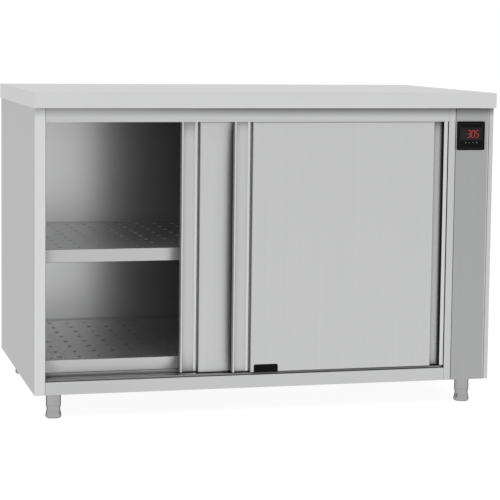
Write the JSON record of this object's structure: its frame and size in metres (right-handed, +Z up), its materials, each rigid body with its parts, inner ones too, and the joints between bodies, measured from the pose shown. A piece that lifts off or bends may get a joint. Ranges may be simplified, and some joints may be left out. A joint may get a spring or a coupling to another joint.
{
  "type": "hot cupboard",
  "caption": "Stainless catering hot cupboard with a flat worktop, sliding doors with recessed grips, perforated shelves, a panel thermostat and adjustable round feet.",
  "frame": {"origin": "on the floor, under the middle of the worktop, with the feet screwed in", "axes": "+X to the right as seen from the front, +Y from the doors to the back, +Z up"},
  "size_m": [1.2, 0.7, 0.815],
  "materials": {
    "stainless": "fine-ground stainless",
    "stainless_inner": "plain stainless",
    "polished": "polished",
    "board": "raw chipboard",
    "wool": "mineral wool",
    "black_plastic": "moulded",
    "key_plastic": "moulded",
    "display": "dark filter",
    "nylon": "natural",
    "rubber": "matt",
    "heater": "heat-darkened",
    "galvanised": "zinc plated",
    "brass": "turned",
    "circuit": "solder resist",
    "ivory": "moulded",
    "phenolic": "moulded",
    "relay_case": "moulded"
  },
  "bodies": {
    "cabinet": {"worktop": "stainless", "worktop_core": "board", "ceiling_liner": "stainless_inner", "side_panel_left": "stainless", "side_panel_right": "stainless", "left_liner": "stainless_inner", "insulation_left": "wool", "back_panel": "stainless", "back_panel_screws": "galvanised", "back_liner": "stainless_inner", "insulation_back": "wool", "base_tray": "stainless", "top_rail": "stainless", "top_track": "stainless_inner", "guide_strip": "stainless_inner", "partition": "stainless", "control_panel": "stainless", "shelf_skirt": "stainless_inner", "shelf_supports": "stainless_inner", "heater_element": "heater", "heater_brackets": "galvanised", "heater_nuts": "brass", "temperature_probe": "polished", "controller_bezel": "black_plastic", "controller_housing": "black_plastic", "controller_board": "circuit", "controller_clips": "black_plastic", "display_window": "display", "mounting_plate": "galvanised", "terminal_block": "ivory", "safety_cutout": "phenolic", "power_relay": "relay_case", "cable_gland": "black_plastic", "door_bumpers": "rubber", "foot_sleeves": "polished"},
    "front_door": {"front_door_skin": "stainless", "front_door_pan": "stainless_inner", "front_door_core": "wool", "front_door_hangers": "galvanised", "front_door_shoe": "black_plastic"},
    "rear_door": {"rear_door_skin": "stainless", "rear_door_pan": "stainless_inner", "rear_door_core": "wool", "rear_door_hangers": "galvanised", "rear_door_shoe": "black_plastic"},
    "front_roller_left": {"front_roller_left": "nylon"},
    "front_roller_right": {"front_roller_right": "nylon"},
    "rear_roller_left": {"rear_roller_left": "nylon"},
    "rear_roller_right": {"rear_roller_right": "nylon"},
    "foot_front_left": {"foot_front_left": "polished"},
    "foot_front_right": {"foot_front_right": "polished"},
    "foot_back_left": {"foot_back_left": "polished"},
    "foot_back_right": {"foot_back_right": "polished"},
    "key_power": {"key_power": "key_plastic"},
    "key_down": {"key_down": "key_plastic"},
    "key_up": {"key_up": "key_plastic"},
    "key_set": {"key_set": "key_plastic"},
    "middle_shelf": {"middle_shelf": "stainless_inner"},
    "bottom_shelf": {"bottom_shelf": "stainless_inner"}
  },
  "joints": [
    {"name": "door_front_slide", "type": "slide", "parent": "cabinet", "child": "front_door", "axis": [1, 0, 0], "range_m": [-0.476, 0]},
    {"name": "door_rear_slide", "type": "slide", "parent": "cabinet", "child": "rear_door", "axis": [1, 0, 0], "range_m": [-0.345, 0.131]},
    {"name": "door_front_roller_left", "type": "hinge", "parent": "front_door", "child": "front_roller_left", "pos_m": [-0.0035, -0.32045, 0.7606], "axis": [0, 1, 0], "range_deg": [-3060, 30]},
    {"name": "door_front_roller_right", "type": "hinge", "parent": "front_door", "child": "front_roller_right", "pos_m": [0.3835, -0.32045, 0.7606], "axis": [0, 1, 0], "range_deg": [-3060, 30]},
    {"name": "door_rear_roller_left", "type": "hinge", "parent": "rear_door", "child": "rear_roller_left", "pos_m": [-0.1345, -0.31055, 0.7606], "axis": [0, 1, 0], "range_deg": [-2230, 870]},
    {"name": "door_rear_roller_right", "type": "hinge", "parent": "rear_door", "child": "rear_roller_right", "pos_m": [0.2525, -0.31055, 0.7606], "axis": [0, 1, 0], "range_deg": [-2230, 870]},
    {"name": "foot_front_left_screw", "type": "slide", "parent": "cabinet", "child": "foot_front_left", "axis": [0, 0, -1], "range_m": [0, 0.03]},
    {"name": "foot_front_right_screw", "type": "slide", "parent": "cabinet", "child": "foot_front_right", "axis": [0, 0, -1], "range_m": [0, 0.03]},
    {"name": "foot_back_left_screw", "type": "slide", "parent": "cabinet", "child": "foot_back_left", "axis": [0, 0, -1], "range_m": [0, 0.03]},
    {"name": "foot_back_right_screw", "type": "slide", "parent": "cabinet", "child": "foot_back_right", "axis": [0, 0, -1], "range_m": [0, 0.03]},
    {"name": "key_power_press", "type": "slide", "parent": "cabinet", "child": "key_power", "axis": [0, 1, 0], "range_m": [0, 0.0008], "stiffness_N_per_m": 300},
    {"name": "key_down_press", "type": "slide", "parent": "cabinet", "child": "key_down", "axis": [0, 1, 0], "range_m": [0, 0.0008], "stiffness_N_per_m": 300},
    {"name": "key_up_press", "type": "slide", "parent": "cabinet", "child": "key_up", "axis": [0, 1, 0], "range_m": [0, 0.0008], "stiffness_N_per_m": 300},
    {"name": "key_set_press", "type": "slide", "parent": "cabinet", "child": "key_set", "axis": [0, 1, 0], "range_m": [0, 0.0008], "stiffness_N_per_m": 300},
    {"name": "shelf_middle_lift", "type": "slide", "parent": "cabinet", "child": "middle_shelf", "axis": [0, 0, 1], "range_m": [0, 0.15]},
    {"name": "shelf_bottom_lift", "type": "slide", "parent": "cabinet", "child": "bottom_shelf", "axis": [0, 0, 1], "range_m": [0, 0.15]}
  ],
  "couplings": [
    {"joint": "door_front_roller_left", "follows": "door_front_slide", "rad_per_m": 111.11},
    {"joint": "door_front_roller_right", "follows": "door_front_slide", "rad_per_m": 111.11},
    {"joint": "door_rear_roller_left", "follows": "door_rear_slide", "rad_per_m": 111.11},
    {"joint": "door_rear_roller_right", "follows": "door_rear_slide", "rad_per_m": 111.11}
  ]
}
